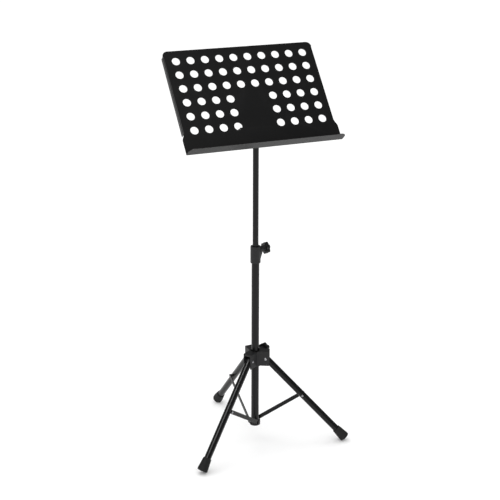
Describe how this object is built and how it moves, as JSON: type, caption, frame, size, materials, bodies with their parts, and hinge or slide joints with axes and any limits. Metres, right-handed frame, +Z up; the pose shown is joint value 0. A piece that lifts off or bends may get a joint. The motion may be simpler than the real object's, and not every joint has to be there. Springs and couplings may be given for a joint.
{
  "type": "music stand",
  "caption": "Folding music stand: perforated tilting desk with a shelf, telescopic mast with clamp knobs, and a three-legged strutted base on rubber feet.",
  "frame": {"origin": "middle of the whole stand's bounding box, on the floor", "axes": "+Z up along the mast, reader at -Y facing +Y, +X to the reader's right"},
  "size_m": [0.5178, 0.4644, 1.2252],
  "materials": {
    "desk_paint": "satin black powder coat",
    "tube_paint": "satin black powder coat on steel tube",
    "moulded_black": "moulded black plastic",
    "knob_black": "moulded black plastic, fine texture",
    "foot_rubber": "matte black rubber",
    "bright_steel": "zinc-plated steel",
    "nylon": "dark nylon",
    "blackened_steel": "blackened steel",
    "black_cast": "black painted casting"
  },
  "bodies": {
    "hub": {"hub_body": "moulded_black", "leg_pivot_rivets": "bright_steel"},
    "leg_right": {"leg_right_tube": "tube_paint", "leg_right_insert": "nylon", "leg_right_foot": "foot_rubber", "leg_right_spacer": "moulded_black", "leg_right_rivet": "bright_steel"},
    "strut_right": {"strut_right": "tube_paint"},
    "leg_back": {"leg_back_tube": "tube_paint", "leg_back_insert": "nylon", "leg_back_foot": "foot_rubber", "leg_back_spacer": "moulded_black", "leg_back_rivet": "bright_steel"},
    "strut_back": {"strut_back": "tube_paint"},
    "leg_left": {"leg_left_tube": "tube_paint", "leg_left_insert": "nylon", "leg_left_foot": "foot_rubber", "leg_left_spacer": "moulded_black", "leg_left_rivet": "bright_steel"},
    "strut_left": {"strut_left": "tube_paint"},
    "lower_mast": {"lower_tube": "tube_paint", "bottom_collar": "moulded_black", "strut_inner_rivets": "blackened_steel", "mast_collar": "moulded_black", "collar_screw": "blackened_steel", "collar_bush": "nylon"},
    "mast_slider": {"guide_bush": "nylon"},
    "upper_mast": {"upper_tube": "tube_paint", "tilt_head": "black_cast", "head_pin": "blackened_steel", "bush_rings": "bright_steel"},
    "desk": {"desk_plate": "desk_paint", "desk_bracket": "desk_paint", "bracket_rivets": "desk_paint", "friction_washers": "nylon", "tilt_bolt": "bright_steel"},
    "tilt_clamp_washer": {"tilt_washer": "bright_steel"},
    "tilt_clamp_knob": {"tilt_knob": "knob_black", "tilt_knob_insert": "bright_steel"},
    "collar_clamp_pad": {"collar_pad": "nylon"},
    "collar_clamp_knob": {"collar_knob": "knob_black", "collar_stud": "bright_steel"},
    "hub_clamp_pad": {"hub_pad": "nylon"},
    "hub_clamp_knob": {"hub_knob": "knob_black", "hub_stud": "bright_steel"}
  },
  "joints": [
    {"name": "fold_right", "type": "hinge", "parent": "hub", "child": "leg_right", "pos_m": [0.02281, -0.07883, 0.27703], "axis": [0.4587, 0.8886, 0], "range_deg": [0, 35.4]},
    {"name": "strut_right_pivot", "type": "hinge", "parent": "leg_right", "child": "strut_right", "pos_m": [0.1266, -0.13241, 0.15351], "axis": [0.4587, 0.8886, 0], "range_deg": [-75.82, 1]},
    {"name": "mast_pivot", "type": "hinge", "parent": "strut_right", "child": "lower_mast", "pos_m": [-0.00208, -0.06599, 0.058], "axis": [0.4587, 0.8886, 0], "range_deg": [-1, 40.42]},
    {"name": "fold_back", "type": "hinge", "parent": "hub", "child": "leg_back", "pos_m": [-0.00807, -0.03074, 0.27703], "axis": [-0.9989, -0.0471, 0], "range_deg": [-1, 36.4]},
    {"name": "strut_back_pivot", "type": "hinge", "parent": "leg_back", "child": "strut_back", "pos_m": [-0.01358, 0.08594, 0.15351], "axis": [-0.9989, -0.0471, 0], "range_deg": [-75.82, 1]},
    {"name": "fold_left", "type": "hinge", "parent": "hub", "child": "leg_left", "pos_m": [-0.03429, -0.08153, 0.27703], "axis": [0.5402, -0.8415, 0], "range_deg": [-1, 36.4]},
    {"name": "strut_left_pivot", "type": "hinge", "parent": "leg_left", "child": "strut_left", "pos_m": [-0.13258, -0.14463, 0.15351], "axis": [0.5402, -0.8415, 0], "range_deg": [-75.82, 1]},
    {"name": "mast_height", "type": "slide", "parent": "lower_mast", "child": "mast_slider", "axis": [0, 0, 1], "range_m": [-0.285, 0.13]},
    {"name": "mast_swivel", "type": "hinge", "parent": "mast_slider", "child": "upper_mast", "pos_m": [-0.00652, -0.0637, 0.41325], "axis": [0, 0, 1], "continuous": true},
    {"name": "desk_tilt", "type": "hinge", "parent": "upper_mast", "child": "desk", "pos_m": [-0.00652, -0.0637, 0.99545], "axis": [1, 0, 0], "range_deg": [-50, 39.85]},
    {"name": "collar_screw_travel", "type": "slide", "parent": "lower_mast", "child": "collar_clamp_pad", "axis": [0.9848, 0.1736, 0], "range_m": [0, 0.0025]},
    {"name": "collar_knob_turn", "type": "hinge", "parent": "collar_clamp_pad", "child": "collar_clamp_knob", "pos_m": [0.02007, -0.05901, 0.63125], "axis": [0.9848, 0.1736, 0], "range_deg": [-4, 724]},
    {"name": "hub_screw_travel", "type": "slide", "parent": "hub", "child": "hub_clamp_pad", "axis": [0.8415, 0.5402, 0], "range_m": [0, 0.0025]},
    {"name": "hub_knob_turn", "type": "hinge", "parent": "hub_clamp_pad", "child": "hub_clamp_knob", "pos_m": [0.02798, -0.04155, 0.28903], "axis": [0.8415, 0.5402, 0], "range_deg": [-4, 724]},
    {"name": "tilt_screw_travel", "type": "slide", "parent": "desk", "child": "tilt_clamp_washer", "axis": [-1, 0, 0], "range_m": [0, 0.0025]},
    {"name": "tilt_knob_turn", "type": "hinge", "parent": "tilt_clamp_washer", "child": "tilt_clamp_knob", "pos_m": [-0.03052, -0.0637, 0.99545], "axis": [-1, 0, 0], "range_deg": [-4, 724]}
  ],
  "couplings": [
    {"joint": "strut_right_pivot", "follows": "fold_right", "ratio": -2.1277},
    {"joint": "mast_pivot", "follows": "fold_right", "ratio": 1.1278},
    {"joint": "strut_back_pivot", "follows": "fold_right", "ratio": -2.1277},
    {"joint": "fold_back", "follows": "fold_right", "ratio": 1},
    {"joint": "strut_left_pivot", "follows": "fold_right", "ratio": -2.1277},
    {"joint": "fold_left", "follows": "fold_right", "ratio": 1},
    {"joint": "collar_knob_turn", "follows": "collar_screw_travel", "rad_per_m": 5026.5},
    {"joint": "hub_knob_turn", "follows": "hub_screw_travel", "rad_per_m": 5026.5},
    {"joint": "tilt_knob_turn", "follows": "tilt_screw_travel", "rad_per_m": 5026.5}
  ]
}
